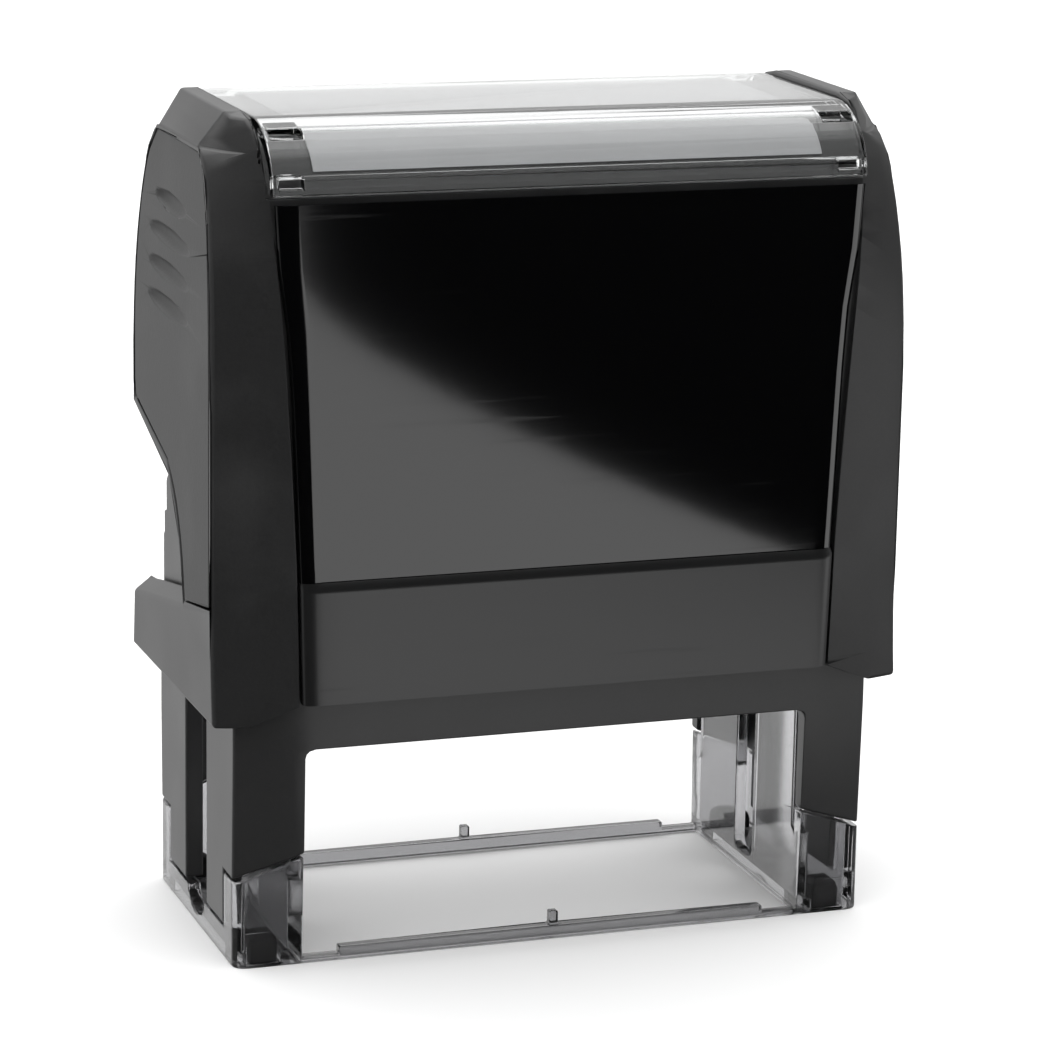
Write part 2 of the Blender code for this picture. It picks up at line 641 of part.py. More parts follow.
def make_panels(shop, material):
    low, high = PANEL_BOTTOM - 5, PANEL_TOP + 5
    top_y = PANEL_FACE_Y - 0.5
    front_profile = [(PANEL_BACK_Y, low), (PANEL_BAND_Y, low), (PANEL_BAND_Y - 0.1, PANEL_BAND_TOP)]
    front_profile += [(PANEL_FACE_Y, PANEL_BAND_TOP + 0.5), (PANEL_FACE_Y - 0.2, 55.0), (top_y, high)]
    front_profile += [(PANEL_BACK_Y, high)]
    back_profile = [(PANEL_BACK_Y, 50), (PANEL_FACE_Y - 0.1, 50), (top_y, high), (PANEL_BACK_Y, high)]
    front = make_panel(shop, "front_panel", -1, PANEL_BOTTOM, front_profile, material)
    back = make_panel(shop, "back_panel", 1, BACK_OPENING_TOP + 0.5, back_profile, material)
    for side, sign in both_ends():
        shop.cut(back, f"lock_hole_{side}", lock_hole_shape(sign))
    return [front, back]


def make_cap(shop, material):
    outer = crown_outline(CAP_TOP, 17.0, CROWN_FLAT_Y, CAP_SEAT_Z + CLEAR)
    inner = crown_outline(CAP_TOP - CAP_WALL, 17.0 - CAP_WALL, CROWN_FLAT_Y - 0.05, CAP_SEAT_Z + CLEAR)
    cap = shop.part("clear_cap", prism_shape(sheet_outline(outer, inner), "X", -CAP_HALF_X, CAP_HALF_X), material)
    for side, sign in both_ends():
        for depth, front in (("front", -1), ("back", 1)):
            low, high = span(sign, CAP_HALF_X - 3.6, CAP_HALF_X - 0.5)
            y0, y1 = span(front, 11, 20)
            shop.cut(cap, f"latch_slot_{depth}_{side}", box_shape((low, y0, 79.9), (high, y1, 80.7)))
            y0, y1 = span(front, 15.2, 20)
            low, high = span(sign, CAP_HALF_X - 3.0, CAP_HALF_X - 0.6)
            shop.cut(cap, f"latch_hole_{depth}_{side}", box_shape((low, y0, 75.7), (high, y1, 76.6)))
    return cap


def make_card(shop, material):
    """The card bends over the crown and ends above its foot."""
    top, half_y = CROWN_TOP + 0.2, CROWN_HALF_Y + 0.16
    rest = crown_outline(top, half_y, CROWN_FLAT_Y, CAP_SEAT_Z, end_z=CARD_EDGE_Z)
    thick = CARD_THICKNESS
    face = crown_outline(top + thick, half_y + thick, CROWN_FLAT_Y, CAP_SEAT_Z, end_z=CARD_EDGE_Z)
    card = prism_shape(sheet_outline(face, rest), "X", -CARD_HALF_X, CARD_HALF_X)
    return shop.part("index_card", card, material)


def make_lock_buttons(shop, material):
    made = []
    for side, sign in both_ends():
        x = sign * LOCK_X
        low = (x - LOCK_HALF_X, 15.0, LOCK_Z - LOCK_HALF_Z)
        high = (x + LOCK_HALF_X, PANEL_BAND_Y, LOCK_Z + LOCK_HALF_Z)
        button = shop.part(f"lock_button_{side}", rounded_box_shape(low, high, 0.4, along=(0, 1, 0)), material)
        shop.join(button, "flange", box_shape((x - 3.7, 14.4, LOCK_Z - 2.6), (x + 3.7, 15.3, LOCK_Z + 2.6)))
        shop.join(button, "catch", box_shape((x - 1.5, 12.9, LOCK_Z - 0.8), (x + 1.5, 14.6, LOCK_Z + 0.8)))
        made.append(button)
    return made


# ---------------------------------------------------------------- spring, cartridge and die


def make_spring(shop, material):
    """A compression coil with closed ends between the deck and the crown."""
    wire, radius, turns = 0.45, 5.0, 10
    low, high = DECK_TOP + wire + 0.2, CAVITY_TOP - wire - 0.2
    per_turn = 14
    count = turns * per_turn
    curve = bpy.data.curves.new("main_spring", "CURVE")
    curve.dimensions = "3D"
    curve.bevel_depth = wire * MM
    curve.bevel_resolution = 2
    curve.use_fill_caps = True
    spline = curve.splines.new("POLY")
    spline.points.add(count)
    closed = 1.2 * wire * 2  # rise of each closed end turn
    for i, point in enumerate(spline.points):
        turn = i / per_turn
        if turn < 1:
            z = low + closed * turn
        elif turn > turns - 1:
            z = high - closed * (turns - turn)
        else:
            z = low + closed + (high - low - 2 * closed) * (turn - 1) / (turns - 2)
        angle = 2 * math.pi * turn
        point.co = (radius * math.cos(angle) * MM, radius * math.sin(angle) * MM, z * MM, 1)
    curve.materials.append(material)
    obj = bpy.data.objects.new("main_spring", curve)
    shop.parts.objects.link(obj)
    return obj


def make_cartridge(shop, tray_material, ink_material):
    body = box_shape((-TRAY_X, -TRAY_Y, TRAY_BOTTOM), (TRAY_X, TRAY_Y, TRAY_TOP))
    tray = shop.part("cartridge_tray", body, tray_material)
    plate_y = TRAY_Y + 0.4
    plate = rounded_box_shape((-32.2, plate_y, 30.5), (32.2, 13.8, TRAY_TOP + 0.2), 0.5, along=(0, 1, 0))
    shop.join(tray, "face_plate", plate)
    shop.join(tray, "neck", box_shape((-29.0, TRAY_Y - 1, TRAY_BOTTOM + 0.5), (29.0, 13.2, TRAY_TOP - 0.3)))
    pocket_x, pocket_y = INK_X + CLEAR, INK_Y + CLEAR
    pocket = box_shape((-pocket_x, -pocket_y, 25), (pocket_x, pocket_y, PAD_BACK_Z + 0.2))
    shop.cut(tray, "pad_pocket", pocket)
    shop.cut(tray, "finger_groove", box_shape((-9, 13.3, 32.4), (9, 16, 35.0)))
    pad = rounded_box_shape((-INK_X, -INK_Y, PAD_FACE_Z), (INK_X, INK_Y, PAD_BACK_Z), 0.4)
    return [tray, shop.part("ink_pad", pad, ink_material)]


def make_die(shop, carrier_material, plate_material, foam_material, rubber_material):
    """The die at rest, printing face up against the ink pad, on an axle along X."""
    z = AXLE_Z
    core_x, plate_x = DIE_X - 2, DIE_X - 0.5
    web = box_shape((-DIE_X, -8.6, z - 1.9), (DIE_X, 8.6, z + 0.4))
    carrier = shop.part("die_carrier", web, carrier_material)
    shop.cut(carrier, "core_front", box_shape((-core_x, -7.4, z - 5), (core_x, -2.2, z - 0.8)))
    shop.cut(carrier, "core_back", box_shape((-core_x, 2.2, z - 5), (core_x, 7.4, z - 0.8)))
    for side, sign in both_ends():
        stub = rod_shape(AXLE_R, (sign * (DIE_X - 0.2), 0, z), (sign * 33.8, 0, z))
        shop.join(carrier, f"stub_{side}", stub)
    sheet = box_shape((-plate_x, -DIE_Y, z + 0.6), (plate_x, DIE_Y, z + 1.4))
    plate = shop.part("die_plate", sheet, plate_material)
    soft_y = DIE_Y - 0.3
    foam_sheet = box_shape((-plate_x, -soft_y, z + 1.6), (plate_x, soft_y, z + 2.4))
    foam = shop.part("die_foam", foam_sheet, foam_material)
    rubber_sheet = box_shape((-plate_x, -soft_y, z + 2.6), (plate_x, soft_y, z + 3.5))
    rubber = shop.part("rubber_die", rubber_sheet, rubber_material)
    # a plain border and three bars stand in for the lines of a stamp
    rim = box_shape((-23.0, -8.6, z + 3.2), (23.0, 8.6, z + DIE_HEIGHT))
    shop.join(rubber, "border", rim)
    shop.cut(rubber, "border_inside", box_shape((-22.3, -7.9, z + 3.5), (22.3, 7.9, z + 9)))
    for row, half in enumerate((17.0, 12.5, 15.5)):
        y = 4.4 - 4.4 * row
        bar = box_shape((-half, y - 1.0, z + 3.2), (half, y + 1.0, z + DIE_HEIGHT))
        shop.join(rubber, f"bar_{row}", bar)
    return [carrier, plate, foam, rubber]


def main():
    clear_scene()
    shop = Workshop()
    black = make_material("black_plastic", (0.022, 0.022, 0.023), 0.48)
    gloss = make_material("gloss_black_plastic", (0.012, 0.012, 0.013), 0.06)
    grip = make_material("grip_plastic", (0.03, 0.03, 0.031), 0.55)
    smoke = make_material("smoke_clear_plastic", (0.45, 0.45, 0.47), 0.08)
    clear = make_material("clear_plastic", (0.85, 0.87, 0.88), 0.04)
    rubber = make_material("black_rubber", (0.02, 0.02, 0.02), 0.75)
    steel = make_material("spring_steel", (0.62, 0.62, 0.6), 0.28, 1.0)
    card = make_material("card", (0.5, 0.5, 0.52), 0.55)
    ink = make_material("ink_felt", (0.012, 0.012, 0.02), 0.9)
    die_rubber = make_material("die_rubber", (0.35, 0.07, 0.06), 0.7)
    foam = make_material("die_foam", (0.3, 0.3, 0.32), 0.95)
    button = make_material("button_plastic", (0.4, 0.03, 0.03), 0.4)

    make_frame(shop, black)
    make_foot(shop, smoke)
    make_pads(shop, rubber)
    make_spring(shop, steel)
    bow_pieces = [make_bow(shop, black)]
    bow_pieces += make_inlays(shop, grip)
    bow_pieces += make_panels(shop, gloss)
    bow_pieces.append(make_card(shop, card))
    shop.pivot("bow_slide", (0, 0, BOW_BOTTOM), bow_pieces)
    shop.pivot("cap_slide", (0, 0, CAP_TOP), [make_cap(shop, clear)])
    for (side, sign), made in zip(both_ends(), make_lock_buttons(shop, button)):
        shop.pivot(f"lock_slide_{side}", (sign * LOCK_X, PANEL_BAND_Y, LOCK_Z), [made])
    shop.pivot("cartridge_slide", (0, TRAY_Y, TRAY_BOTTOM), make_cartridge(shop, black, ink))
    shop.pivot("die_axle", (0, 0, AXLE_Z), make_die(shop, black, black, foam, die_rubber))


main()
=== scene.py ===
"""Looks of a self-inking stamp around a fixed frame: shells, foot, cap, spring, cartridge and die."""
import math

import bmesh
import bpy
from mathutils import Matrix, Vector


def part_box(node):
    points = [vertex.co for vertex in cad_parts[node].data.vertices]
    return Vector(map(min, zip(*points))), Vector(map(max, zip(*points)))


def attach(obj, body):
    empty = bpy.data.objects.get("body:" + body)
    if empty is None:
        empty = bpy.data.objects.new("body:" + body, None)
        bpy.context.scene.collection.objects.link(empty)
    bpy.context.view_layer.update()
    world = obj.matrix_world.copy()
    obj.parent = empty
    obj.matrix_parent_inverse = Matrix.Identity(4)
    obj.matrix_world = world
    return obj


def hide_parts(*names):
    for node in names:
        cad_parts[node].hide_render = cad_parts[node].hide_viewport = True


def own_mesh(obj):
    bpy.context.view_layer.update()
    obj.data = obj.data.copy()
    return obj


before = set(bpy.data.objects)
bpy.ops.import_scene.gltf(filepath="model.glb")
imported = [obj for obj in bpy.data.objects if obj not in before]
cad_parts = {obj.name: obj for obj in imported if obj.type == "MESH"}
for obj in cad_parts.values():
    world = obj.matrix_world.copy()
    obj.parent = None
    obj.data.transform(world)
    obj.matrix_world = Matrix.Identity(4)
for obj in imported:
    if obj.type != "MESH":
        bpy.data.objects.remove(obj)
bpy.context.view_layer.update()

bl_info = {
    "name": "Self-inking stamp",
    "version": (1, 0, 0),
    "blender": (4, 5, 0),
    "location": "View3D > Sidebar > Stamp",
    "description": "Builds the finished surfaces of a self-inking stamp around its frame",
    "category": "Object",
}

MM = 0.001
ENDS = ("left", "right")


# ---------------------------------------------------------------- settings


def colour_setting(name, description, default):
    return bpy.props.FloatVectorProperty(
        name=name, description=description, default=default, size=3, min=0.0, max=1.0, subtype="COLOR"
    )


def angle_setting(name, description, degrees):
    return bpy.props.FloatProperty(
        name=name, description=description, default=math.radians(degrees), subtype="ANGLE"
    )


def length_setting(name, description, default):
    return bpy.props.FloatProperty(
        name=name, description=description, default=default, min=0.0, unit="LENGTH", subtype="DISTANCE"
    )


class StampFinishes(bpy.types.PropertyGroup):
    """Colours and edge sizes of the stamp's pieces"""

    shell_colour: colour_setting("Shell", "Colour of the matt moulded shell", (0.0085, 0.0085, 0.0088))
    frame_colour: colour_setting("Frame", "Colour of the window frame", (0.011, 0.011, 0.0113))
    grip_colour: colour_setting("Grip", "Colour of the grip inlays", (0.011, 0.011, 0.0113))
    gloss_colour: colour_setting("Gloss panel", "Colour of the polished panels", (0.0014, 0.0014, 0.0016))
    band_colour: colour_setting("Band", "Colour of the band under the gloss panel", (0.007, 0.007, 0.0073))
    smoke_colour: colour_setting("Foot", "Tint of the smoke clear foot", (0.42, 0.42, 0.43))
    clear_colour: colour_setting("Cap", "Tint of the clear cap", (0.97, 0.98, 0.98))
    card_colour: colour_setting("Card", "Colour of the index card", (0.50, 0.50, 0.51))
    button_colour: colour_setting("Buttons", "Colour of the lock buttons", (0.40, 0.03, 0.03))
    ink_colour: colour_setting("Ink", "Colour of the inked felt", (0.010, 0.010, 0.018))
    die_colour: colour_setting("Die", "Colour of the stamp rubber", (0.35, 0.07, 0.06))
    shell_edge: length_setting("Shell edge", "Rounding of the shell's edges", 0.45 * MM)
    frame_edge: length_setting("Frame edge", "Rounding of the frame's edges", 0.3 * MM)
    trim_edge: length_setting("Trim edge", "Rounding of the finer edges", 0.18 * MM)
    panel_rim: length_setting("Panel rim", "How wide the front panel rolls over at its sides", 1.6 * MM)
    groove_gain: bpy.props.FloatProperty(
        name="Groove gain",
        description="Extra depth of the finger grooves, as a share of their depth",
        default=0.8,
        min=0.0,
        max=1.0,
    )
    grain_size: length_setting("Grain", "Size of the moulded grain", 0.28 * MM)


class StampStage(bpy.types.PropertyGroup):
    """Camera and light"""

    azimuth: angle_setting("Azimuth", "How far the camera stands to the left of the front", 19.157)
    elevation: angle_setting("Elevation", "How far the camera looks down", 13.741)
    roll: angle_setting("Roll", "Turn of the camera about its own line of sight", 1.007)
    distance: length_setting("Distance", "From the camera to its target", 409.43 * MM)
    target_side: length_setting("Target side", "Sideways place of the point looked at", 0.74 * MM)
    target_height: length_setting("Target height", "Height of the point looked at", 38.894 * MM)
    lens: bpy.props.FloatProperty(
        name="Lens", description="Focal length in millimetres", default=142.53, min=10.0
    )


# ---------------------------------------------------------------- shader groups


def new_group(name, inputs, outputs):
    group = bpy.data.node_groups.new(name, "ShaderNodeTree")
    for label, kind, value in inputs:
        socket = group.interface.new_socket(label, in_out="INPUT", socket_type=kind)
        if value is not None:
            socket.default_value = value
    for label, kind in outputs:
        group.interface.new_socket(label, in_out="OUTPUT", socket_type=kind)
    return group, group.nodes.new("NodeGroupInput"), group.nodes.new("NodeGroupOutput")


def add_math(nodes, links, operation, first, second, clamp=False):
    node = nodes.new("ShaderNodeMath")
    node.operation = operation
    node.use_clamp = clamp
    for socket, value in zip(node.inputs, (first, second)):
        if isinstance(value, bpy.types.NodeSocket):
            links.new(value, socket)
        else:
            socket.default_value = value
    return node.outputs[0]


def moulded_group():
    """Fine moulded grain, a slow drift in tone, and rubbed, slightly glossier patches."""
    found = bpy.data.node_groups.get("Moulded surface")
    if found:
        return found
    group, given, out = new_group(
        "Moulded surface",
        [
            ("Vector", "NodeSocketVector", None),
            ("Base", "NodeSocketColor", (0.02, 0.02, 0.02, 1)),
            ("Rub", "NodeSocketColor", (0.05, 0.05, 0.05, 1)),
            ("Roughness", "NodeSocketFloat", 0.5),
            ("Spread", "NodeSocketFloat", 0.1),
            ("Grain", "NodeSocketFloat", 3500.0),
            ("Depth", "NodeSocketFloat", 0.00001),
        ],
        [("Color", "NodeSocketColor"), ("Roughness", "NodeSocketFloat"), ("Normal", "NodeSocketVector")],
    )
    nodes, links = group.nodes, group.links
    grain = nodes.new("ShaderNodeTexNoise")
    grain.inputs["Detail"].default_value = 2.0
    grain.inputs["Roughness"].default_value = 0.6
    links.new(given.outputs["Vector"], grain.inputs["Vector"])
    links.new(given.outputs["Grain"], grain.inputs["Scale"])
    bump = nodes.new("ShaderNodeBump")
    bump.inputs["Strength"].default_value = 1.0
    links.new(given.outputs["Depth"], bump.inputs["Distance"])
    links.new(grain.outputs["Fac"], bump.inputs["Height"])
    drift = nodes.new("ShaderNodeTexNoise")
    drift.inputs["Scale"].default_value = 90.0
    drift.inputs["Detail"].default_value = 5.0
    links.new(given.outputs["Vector"], drift.inputs["Vector"])
    rub = nodes.new("ShaderNodeMapRange")
    rub.inputs["From Min"].default_value = 0.48
    rub.inputs["From Max"].default_value = 0.78
    links.new(drift.outputs["Fac"], rub.inputs["Value"])
    speck = add_math(nodes, links, "MULTIPLY", grain.outputs["Fac"], 0.35)
    amount = add_math(nodes, links, "MULTIPLY_ADD", rub.outputs["Result"], 0.35, clamp=True)
    links.new(speck, amount.node.inputs[2])
    mix = nodes.new("ShaderNodeMix")
    mix.data_type = "RGBA"
    links.new(amount, mix.inputs["Factor"])
    links.new(given.outputs["Base"], mix.inputs[6])
    links.new(given.outputs["Rub"], mix.inputs[7])
    centred = add_math(nodes, links, "SUBTRACT", drift.outputs["Fac"], 0.5)
    shift = add_math(nodes, links, "MULTIPLY", centred, given.outputs["Spread"])
    rough = add_math(nodes, links, "ADD", given.outputs["Roughness"], shift, clamp=True)
    links.new(mix.outputs[2], out.inputs["Color"])
    links.new(rough, out.inputs["Roughness"])
    links.new(bump.outputs["Normal"], out.inputs["Normal"])
    return group


def polish_group():
    """Hairline scratches, faint orange peel and a trace of dust for polished and clear plastic."""
    found = bpy.data.node_groups.get("Polished surface")
    if found:
        return found
    group, given, out = new_group(
        "Polished surface",
        [
            ("Vector", "NodeSocketVector", None),
            ("Base", "NodeSocketColor", (0.02, 0.02, 0.02, 1)),
            ("Dust", "NodeSocketColor", (0.3, 0.3, 0.3, 1)),
            ("Roughness", "NodeSocketFloat", 0.05),
            ("Wear", "NodeSocketFloat", 0.1),
            ("Peel", "NodeSocketFloat", 0.000002),
        ],
        [("Color", "NodeSocketColor"), ("Roughness", "NodeSocketFloat"), ("Normal", "NodeSocketVector")],
    )
    nodes, links = group.nodes, group.links
    stretch = nodes.new("ShaderNodeMapping")
    stretch.inputs["Scale"].default_value = (60.0, 900.0, 2200.0)
    stretch.inputs["Rotation"].default_value = (0.3, 0.5, 0.2)
    links.new(given.outputs["Vector"], stretch.inputs["Vector"])
    hairs = nodes.new("ShaderNodeTexNoise")
    hairs.inputs["Scale"].default_value = 1.0
    hairs.inputs["Detail"].default_value = 3.0
    links.new(stretch.outputs["Vector"], hairs.inputs["Vector"])
    lines = nodes.new("ShaderNodeMapRange")
    lines.inputs["From Min"].default_value = 0.62
    lines.inputs["From Max"].default_value = 0.80
    links.new(hairs.outputs["Fac"], lines.inputs["Value"])
    worn = add_math(nodes, links, "MULTIPLY", lines.outputs["Result"], given.outputs["Wear"])
    rough = add_math(nodes, links, "ADD", given.outputs["Roughness"], worn, clamp=True)
    dust = nodes.new("ShaderNodeTexNoise")
    dust.inputs["Scale"].default_value = 2600.0
    dust.inputs["Detail"].default_value = 1.0
    links.new(given.outputs["Vector"], dust.inputs["Vector"])
    motes = nodes.new("ShaderNodeMapRange")
    motes.inputs["From Min"].default_value = 0.74
    motes.inputs["From Max"].default_value = 0.86
    motes.inputs["To Max"].default_value = 0.35
    links.new(dust.outputs["Fac"], motes.inputs["Value"])
    mix = nodes.new("ShaderNodeMix")
    mix.data_type = "RGBA"
    links.new(motes.outputs["Result"], mix.inputs["Factor"])
    links.new(given.outputs["Base"], mix.inputs[6])
    links.new(given.outputs["Dust"], mix.inputs[7])
    wave = nodes.new("ShaderNodeTexNoise")
    wave.inputs["Scale"].default_value = 220.0
    wave.inputs["Detail"].default_value = 2.0
    links.new(given.outputs["Vector"], wave.inputs["Vector"])
    bump = nodes.new("ShaderNodeBump")
    bump.inputs["Strength"].default_value = 1.0
    links.new(given.outputs["Peel"], bump.inputs["Distance"])
    links.new(wave.outputs["Fac"], bump.inputs["Height"])
    links.new(mix.outputs[2], out.inputs["Color"])
    links.new(rough, out.inputs["Roughness"])
    links.new(bump.outputs["Normal"], out.inputs["Normal"])
    return group


def finish(name, group, values, **settings):
    """A material that feeds one shader from a shared group."""
    found = bpy.data.materials.get(name)
    if found:
        return found
    made = bpy.data.materials.new(name)
    made.use_nodes = True
    nodes, links = made.node_tree.nodes, made.node_tree.links
    shader = nodes["Principled BSDF"]
    place = nodes.new("ShaderNodeTexCoord")
    surface = nodes.new("ShaderNodeGroup")
    surface.node_tree = group
    links.new(place.outputs["Object"], surface.inputs["Vector"])
    for label, value in values.items():
        socket = surface.inputs[label]
        socket.default_value = (*value, 1.0) if socket.type == "RGBA" else value
    links.new(surface.outputs["Color"], shader.inputs["Base Color"])
    links.new(surface.outputs["Roughness"], shader.inputs["Roughness"])
    links.new(surface.outputs["Normal"], shader.inputs["Normal"])
    for label, value in settings.items():
        shader.inputs[label.replace("_", " ")].default_value = value
    return made


def lighter(colour, amount):
    return tuple(min(1.0, c + amount) for c in colour)


def moulded(name, colour, roughness, rub=0.02, grain=None, depth=0.006, spread=0.12, **settings):
    size = grain or bpy.context.scene.stamp_finishes.grain_size
    values = {
        "Base": tuple(colour),
        "Rub": lighter(colour, rub),
        "Roughness": roughness,
        "Spread": spread,
        "Grain": 1.0 / size,
        "Depth": depth * MM,
    }
    return finish(name, moulded_group(), values, **settings)


def polished(name, colour, roughness, dust=0.1, wear=0.08, peel=0.0015, **settings):
    values = {
        "Base": tuple(colour),
        "Dust": lighter(colour, dust),
        "Roughness": roughness,
        "Wear": wear,
        "Peel": peel * MM,
    }
    return finish(name, polish_group(), values, **settings)


# ---------------------------------------------------------------- shapes


def clean_copy(node, weld=0.06 * MM):
    """The node's shape with its loose triangles merged into whole faces."""
    bm = bmesh.new()
    bm.from_mesh(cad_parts[node].data)
    bmesh.ops.remove_doubles(bm, verts=bm.verts, dist=0.3 * weld)
    bmesh.ops.dissolve_degenerate(bm, edges=bm.edges, dist=weld)
    return bm


def mark_edges(bm, width, angle=30.0, share=0.3, least=0.03 * MM):
    """Weighs every sharp edge for the bevel: full width where there is room, less beside short edges."""
    weight = bm.edges.layers.float.new("bevel_weight_edge")
    limit = math.radians(angle)
    for edge in bm.edges:
        if not edge.is_manifold or edge.calc_face_angle(0.0) < limit:
            continue
        around = [near for vert in edge.verts for near in vert.link_edges]
        room = share * min(near.calc_length() for near in around if near.calc_face_angle(0.0) > limit)
        edge[weight] = min(1.0, room / width) if room > least else 0.0


def make_piece(name, bm, material, body, node=None, smooth=32.0, rounding=0.0, segments=3):
    """Turns a shape into a finished piece that rides on a body and stands for a node."""
    mesh = bpy.data.meshes.new(name)
    if rounding:
        mark_edges(bm, rounding)
    bm.to_mesh(mesh)
    bm.free()
    for one in material if isinstance(material, list) else [material]:
        mesh.materials.append(one)
    mesh.shade_smooth()
    mesh.set_sharp_from_angle(angle=math.radians(smooth))
    obj = bpy.data.objects.new(name, mesh)
    bpy.context.scene.collection.objects.link(obj)
    if rounding:
        bevel = obj.modifiers.new("Rounded edges", "BEVEL")
        bevel.limit_method = "WEIGHT"
        bevel.width = rounding
        bevel.segments = segments
        bevel.use_clamp_overlap = False
    weigh = obj.modifiers.new("Even shading", "WEIGHTED_NORMAL")
    weigh.keep_sharp = True
    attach(obj, body)
    if node:
        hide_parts(node)
    return obj


CUSHION_CELL = 1.3 * MM  # edges longer than this are halved
CUSHION_ROUNDS = 5


def cushion(node, fall):
    """A soft slab: the node's shape in small faces, its broad sides dropping away towards the rim."""
    bm = clean_copy(node)
    bmesh.ops.triangulate(bm, faces=bm.faces)
    for _ in range(CUSHION_ROUNDS):
        long_edges = [e for e in bm.edges if e.calc_length() > CUSHION_CELL]
        if long_edges:
            bmesh.ops.subdivide_edges(bm, edges=long_edges, cuts=1, use_grid_fill=True)
            bmesh.ops.triangulate(bm, faces=bm.faces)
    low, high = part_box(node)
    thin = min(range(3), key=lambda axis: high[axis] - low[axis])
    middle, half = (low + high) / 2, (high - low) / 2
    for vert in bm.verts:
        reach = [abs(vert.co[i] - middle[i]) / half[i] for i in range(3) if i != thin]
        drop = fall * max(0.0, 1 - (1 - reach[0] ** 6) * (1 - reach[1] ** 6))
        vert.co[thin] -= drop * (vert.co[thin] - middle[thin]) / half[thin]
    bmesh.ops.recalc_face_normals(bm, faces=bm.faces)
    return bm


def finishes():
    return bpy.context.scene.stamp_finishes


# ---------------------------------------------------------------- pieces


class StampOperator(bpy.types.Operator):
    """Shared settings of the building steps"""

    bl_options = {"REGISTER", "UNDO"}


class STAMP_OT_frame(StampOperator):
    """Window frame with legs, end columns and deck"""

    bl_idname = "stamp.frame"
    bl_label = "Window frame"

    def execute(self, context):
        style = finishes()
        plastic = moulded(
            "frame plastic", style.frame_colour, 0.40, rub=0.02, depth=0.004, Specular_IOR_Level=0.75
        )
        bm = clean_copy("base_frame")
        make_piece(
            "frame_shell", bm, plastic, "base", "base_frame", rounding=style.frame_edge
        )
        return {"FINISHED"}


class STAMP_OT_foot(StampOperator):
    """Clear foot and its four rubber pads"""

    bl_idname = "stamp.foot"
    bl_label = "Clear foot"

    def execute(self, context):
        style = finishes()
        smoke = polished(
            "smoke clear plastic", style.smoke_colour, 0.09, dust=0.0, Transmission_Weight=1.0, IOR=1.45
        )
        rubber = moulded("pad rubber", (0.012, 0.012, 0.012), 0.62, grain=0.2 * MM, depth=0.01)
        bm = clean_copy("clear_foot")
        make_piece("foot_shell", bm, smoke, "base", "clear_foot", rounding=style.trim_edge)
        for side in ("front_left", "front_right", "back_left", "back_right"):
            node = f"anti_slip_pad_{side}"
            bm = clean_copy(node)
            make_piece(f"pad_{side}", bm, rubber, "base", node, rounding=0.25 * MM)
        return {"FINISHED"}


GROOVE_RIM = 0.84  # share of the half width that the grooves stay inside


def deepen_grooves(bm, node, gain):
    """Press the finger grooves of a grip inlay deeper by this share of their depth."""
    low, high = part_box(node)
    back = min(abs(low.x), abs(high.x))
    rim = GROOVE_RIM * high.y
    shoulder = high.z - 6 * MM  # above this the outline curves inward

    def on_outline(co):
        return abs(co.y) > rim * (0.6 if co.z > shoulder else 1.0) and abs(co.x) > back + 0.6 * MM

    outer = sorted({(round(v.co.z, 5), abs(v.co.x)) for v in bm.verts if on_outline(v.co)})
    for vert in bm.verts:
        z, x = vert.co.z, abs(vert.co.x)
        if x < back + 0.1 * MM or abs(vert.co.y) > rim:
            continue
        below = max((p for p in outer if p[0] <= z), default=outer[0])
        above = min((p for p in outer if p[0] >= z), default=outer[-1])
        span = above[0] - below[0]
        face = below[1] + (above[1] - below[1]) * ((z - below[0]) / span if span else 0.0)
        depth = face - x
        if 0.04 * MM < depth < 0.6 * MM:
            vert.co.x = math.copysign(max(x - depth * gain, back + 0.15 * MM), vert.co.x)


class STAMP_OT_bow(StampOperator):
    """Shell that is pressed down, with its two grip inlays"""

    bl_idname = "stamp.bow"
    bl_label = "Bow"

    def execute(self, context):
        style = finishes()
        plastic = moulded("shell plastic", style.shell_colour, 0.40, rub=0.02, depth=0.005)
        grip = moulded("grip plastic", style.grip_colour, 0.52, rub=0.03, grain=0.45 * MM, depth=0.012)
        bm = clean_copy("bow")
        make_piece("bow_shell", bm, plastic, "bow", "bow", rounding=style.shell_edge)
        for side in ENDS:
            node = f"grip_inlay_{side}"
            bm = clean_copy(node)
            deepen_grooves(bm, node, style.groove_gain)
            make_piece(f"grip_{side}", bm, grip, "bow", node, rounding=style.trim_edge)
        return {"FINISHED"}


BAND_HEIGHT = 11.8 * MM  # the plain band at the foot of the front panel
BAND_ROWS = 0.4  # share of the rows that the band takes
BAND_SETBACK = 0.06 * MM
FACE_SETBACK = 0.50 * MM
FACE_LEAN = 0.5 * MM  # how far the face falls back from the lip to its top
ROLL_CLEAR = 0.75 * MM  # depth the rolled sides leave before the panel's back
ROLL_POWER = 2.4


def panel_half_width(node):
    """Half the panel's width as a function of height, read from the frame's own panel."""
    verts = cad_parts[node].data.vertices
    corners = {(round(v.co.z, 5), round(abs(v.co.x), 5)) for v in verts}
    low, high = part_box(node)
    known = []
    for i in range(9):
        z = low.z + (high.z - low.z) * i / 8
        near = [x for height, x in corners if abs(height - z) < 3.5 * MM]
        if near:
            known.append((z, max(near)))

    def half(z):
        for (z0, x0), (z1, x1) in zip(known, known[1:]):
            if z <= z1:
                return x0 + (x1 - x0) * max(0.0, z - z0) / (z1 - z0)
        return known[-1][1]

    return half


